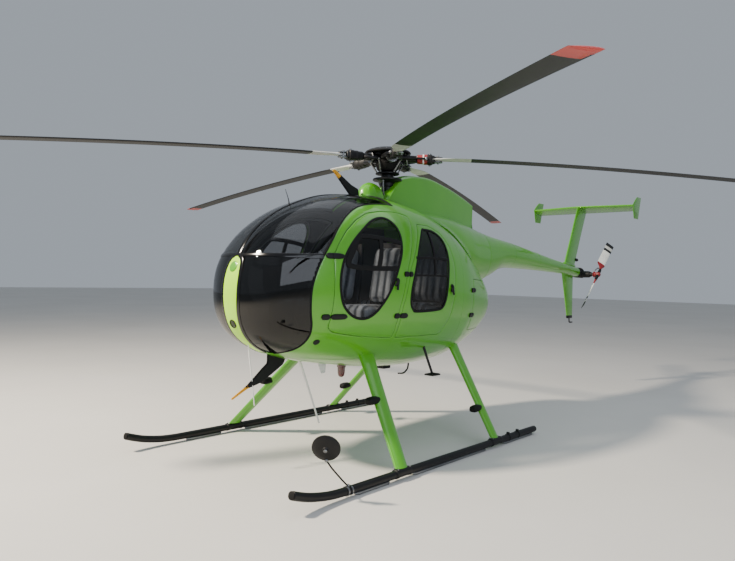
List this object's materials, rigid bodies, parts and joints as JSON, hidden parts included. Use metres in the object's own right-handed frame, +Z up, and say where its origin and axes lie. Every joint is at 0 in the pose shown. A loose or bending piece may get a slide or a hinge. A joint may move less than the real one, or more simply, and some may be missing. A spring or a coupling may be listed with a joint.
{
  "type": "light helicopter",
  "caption": "Light single-engine helicopter with an egg-shaped cabin, smoked canopy, multi-blade rotor, T-tail and tall skids; rotors turn, cabin and engine doors open.",
  "frame": {"origin": "centre of the flat underside of the cargo hook pad, on the main rotor's axis", "axes": "+Z up along the mast, +Y towards the tail, +X to the aircraft's left"},
  "size_m": [7.4087, 9.0358, 2.942],
  "materials": {
    "green_paint": "gloss",
    "black_satin": "satin",
    "smoked_glazing": "polished",
    "dull_steel": "satin",
    "upholstery": "woven",
    "pale_paint": "satin"
  },
  "bodies": {
    "airframe": {"fuselage_shell": "green_paint", "nose_strip": "green_paint", "canopy_frame": "black_satin", "canopy_upper_left": "smoked_glazing", "canopy_upper_right": "smoked_glazing", "canopy_lower_left": "smoked_glazing", "canopy_lower_right": "smoked_glazing", "instrument_panel": "black_satin", "front_seat_left": "upholstery", "front_seat_right": "upholstery", "rear_seat": "upholstery", "engine": "dull_steel", "exhaust_pipe": "dull_steel", "upper_deck": "green_paint", "rotor_fairing": "green_paint", "inlet_cowl": "green_paint", "mast": "black_satin", "tail_boom": "green_paint", "upper_fin": "green_paint", "lower_fin": "green_paint", "stabilizer": "green_paint", "tail_gearbox": "black_satin", "front_strut_left": "green_paint", "front_strut_right": "green_paint", "rear_strut_left": "green_paint", "rear_strut_right": "green_paint", "skid_left": "black_satin", "skid_right": "black_satin", "boarding_step_left": "black_satin", "boarding_step_right": "black_satin", "mirror": "black_satin", "upper_wire_cutter": "black_satin", "lower_wire_cutter": "black_satin", "cargo_hook_pad": "black_satin"},
    "main_rotor": {"main_rotor_hub": "black_satin", "main_blade_1": "black_satin", "main_blade_2": "black_satin", "main_blade_3": "black_satin", "main_blade_4": "black_satin", "main_blade_5": "black_satin"},
    "tail_rotor": {"tail_rotor_hub": "dull_steel", "tail_blade_1": "pale_paint", "tail_blade_2": "pale_paint"},
    "front_door_left": {"front_door_left": "green_paint", "front_window_left": "smoked_glazing"},
    "front_door_right": {"front_door_right": "green_paint", "front_window_right": "smoked_glazing"},
    "rear_door_left": {"rear_door_left": "green_paint", "rear_window_left": "smoked_glazing"},
    "rear_door_right": {"rear_door_right": "green_paint", "rear_window_right": "smoked_glazing"},
    "engine_door_left": {"engine_door_left": "green_paint"},
    "engine_door_right": {"engine_door_right": "green_paint"}
  },
  "joints": [
    {"name": "main_rotor_spin", "type": "hinge", "parent": "airframe", "child": "main_rotor", "pos_m": [0, 0, 2.151], "axis": [0, 0, 1], "continuous": true},
    {"name": "tail_rotor_spin", "type": "hinge", "parent": "airframe", "child": "tail_rotor", "pos_m": [0.318, 4.717, 1.06], "axis": [1, 0, 0], "continuous": true},
    {"name": "front_door_left_hinge", "type": "hinge", "parent": "airframe", "child": "front_door_left", "pos_m": [0.616, -1.356, 0.597], "axis": [0, 0, -1], "range_deg": [0, 75]},
    {"name": "front_door_right_hinge", "type": "hinge", "parent": "airframe", "child": "front_door_right", "pos_m": [-0.616, -1.356, 0.597], "axis": [0, 0, 1], "range_deg": [0, 75]},
    {"name": "rear_door_left_hinge", "type": "hinge", "parent": "airframe", "child": "rear_door_left", "pos_m": [0.69, -0.564, 0.59], "axis": [-0.0728, -0.2001, -0.9771], "range_deg": [0, 75]},
    {"name": "rear_door_right_hinge", "type": "hinge", "parent": "airframe", "child": "rear_door_right", "pos_m": [-0.69, -0.564, 0.59], "axis": [-0.0728, 0.2001, 0.9771], "range_deg": [0, 75]},
    {"name": "engine_door_left_hinge", "type": "hinge", "parent": "airframe", "child": "engine_door_left", "pos_m": [0.646, 0.706, 0.56], "axis": [0, 0, -1], "range_deg": [0, 60]},
    {"name": "engine_door_right_hinge", "type": "hinge", "parent": "airframe", "child": "engine_door_right", "pos_m": [-0.646, 0.706, 0.56], "axis": [0, 0, 1], "range_deg": [0, 60]}
  ]
}
